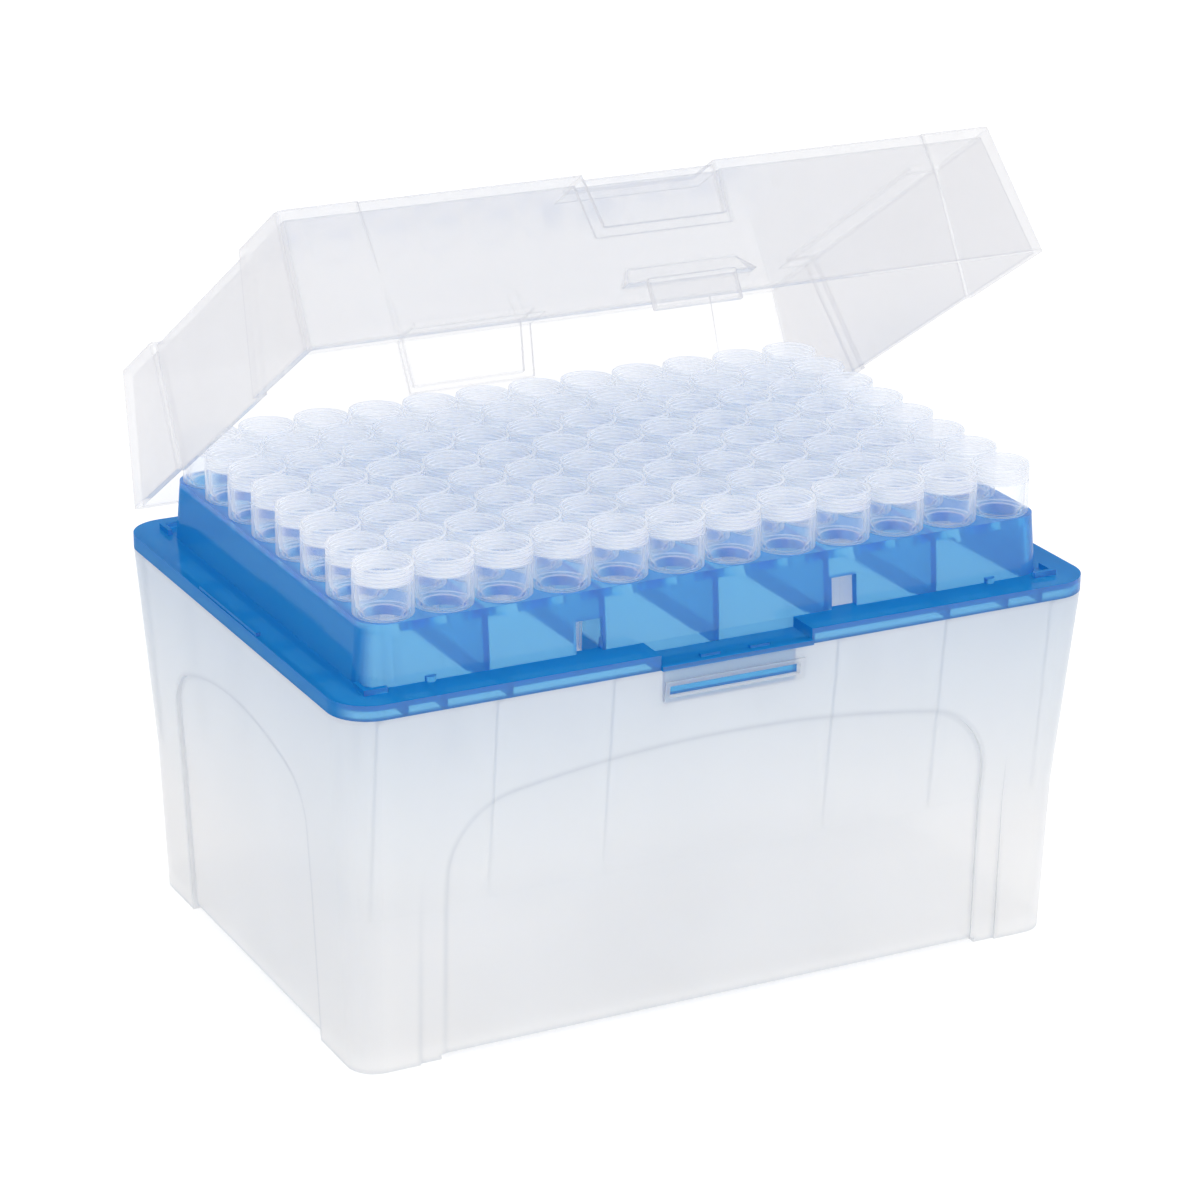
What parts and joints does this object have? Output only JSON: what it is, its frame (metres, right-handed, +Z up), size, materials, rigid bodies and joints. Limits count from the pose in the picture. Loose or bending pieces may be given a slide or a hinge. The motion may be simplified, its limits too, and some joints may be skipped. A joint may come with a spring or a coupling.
{
  "type": "pipette tip box",
  "caption": "Hinged laboratory rack box: frosted base, translucent blue tray holding a grid of clear pipette tips, and a clear snap-shut lid, part open.",
  "frame": {"origin": "on the surface the box stands on, below the middle of the tip grid", "axes": "+Z up, +X along the long side, +Y from the latch towards the hinge"},
  "size_m": [0.1204, 0.0928, 0.1195],
  "materials": {
    "frosted_plastic": "frosted translucent polypropylene",
    "blue_plastic": "translucent blue, glossy",
    "clear_plastic": "clear, glossy",
    "tip_plastic": "clear, slightly milky"
  },
  "bodies": {
    "rack": {"base_box": "frosted_plastic", "tip_tray": "blue_plastic", "tips_column_01": "tip_plastic", "tips_column_02": "tip_plastic", "tips_column_03": "tip_plastic", "tips_column_04": "tip_plastic", "tips_column_05": "tip_plastic", "tips_column_06": "tip_plastic", "tips_column_07": "tip_plastic", "tips_column_08": "tip_plastic", "tips_column_09": "tip_plastic", "tips_column_10": "tip_plastic", "tips_column_11": "tip_plastic", "tips_column_12": "tip_plastic"},
    "lid": {"lid": "clear_plastic"}
  },
  "joints": [
    {"name": "lid_hinge", "type": "hinge", "parent": "rack", "child": "lid", "pos_m": [0, 0.045, 0.0571], "axis": [-1, 0, 0], "range_deg": [-32.5, 77.5]}
  ]
}
